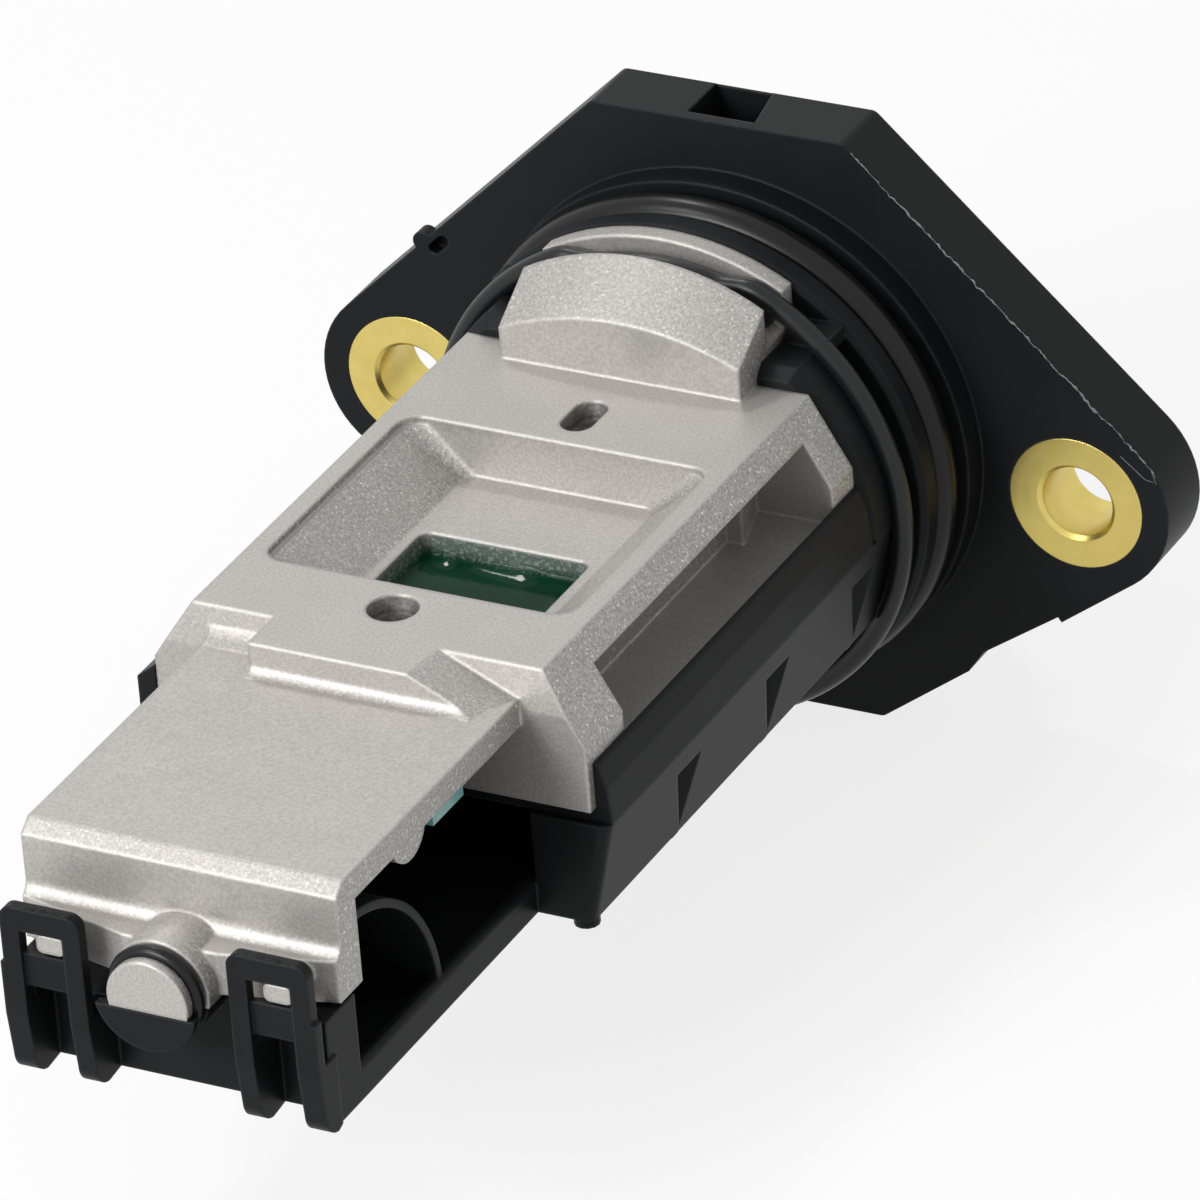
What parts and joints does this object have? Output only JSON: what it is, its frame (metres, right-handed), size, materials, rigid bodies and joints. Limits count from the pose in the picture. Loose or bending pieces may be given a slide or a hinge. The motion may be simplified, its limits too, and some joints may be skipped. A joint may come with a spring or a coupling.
{
  "type": "mass airflow sensor",
  "caption": "Plug-in mass airflow sensor: flanged plastic housing with a round sealed spigot, die-cast probe plate, air channel cover and rear connector socket.",
  "frame": {"origin": "on the spigot's axis, in the plane of the flange's seating face", "axes": "+X along the line of the two screw bushes, +Y out of the duct towards the connector (the probe's tip is at -Y), +Z out of the die-cast plate's top face"},
  "size_m": [0.066, 0.1028, 0.0454],
  "materials": {
    "moulding": "fine moulded grain, charcoal black",
    "casting": "as cast, fine sparkling grain",
    "seal_rubber": "satin",
    "bush_brass": "turned",
    "board": "glazed green",
    "gel": "clear gloss over green",
    "sensor_glass": "glazed teal",
    "chip": "moulded",
    "capacitor": "satin",
    "lead": "tinned"
  },
  "bodies": {
    "root": {"housing": "moulding", "channel_cover": "moulding", "base_plate": "casting", "spigot_seal": "seal_rubber", "pin_seal": "seal_rubber", "bush_right": "bush_brass", "bush_left": "bush_brass", "circuit_board": "board", "gel": "gel", "sensor_strip": "sensor_glass", "control_chip": "chip", "capacitor_near": "capacitor", "capacitor_far": "capacitor", "terminal_1": "lead", "terminal_2": "lead", "terminal_3": "lead", "terminal_4": "lead", "terminal_5": "lead"}
  },
  "joints": []
}
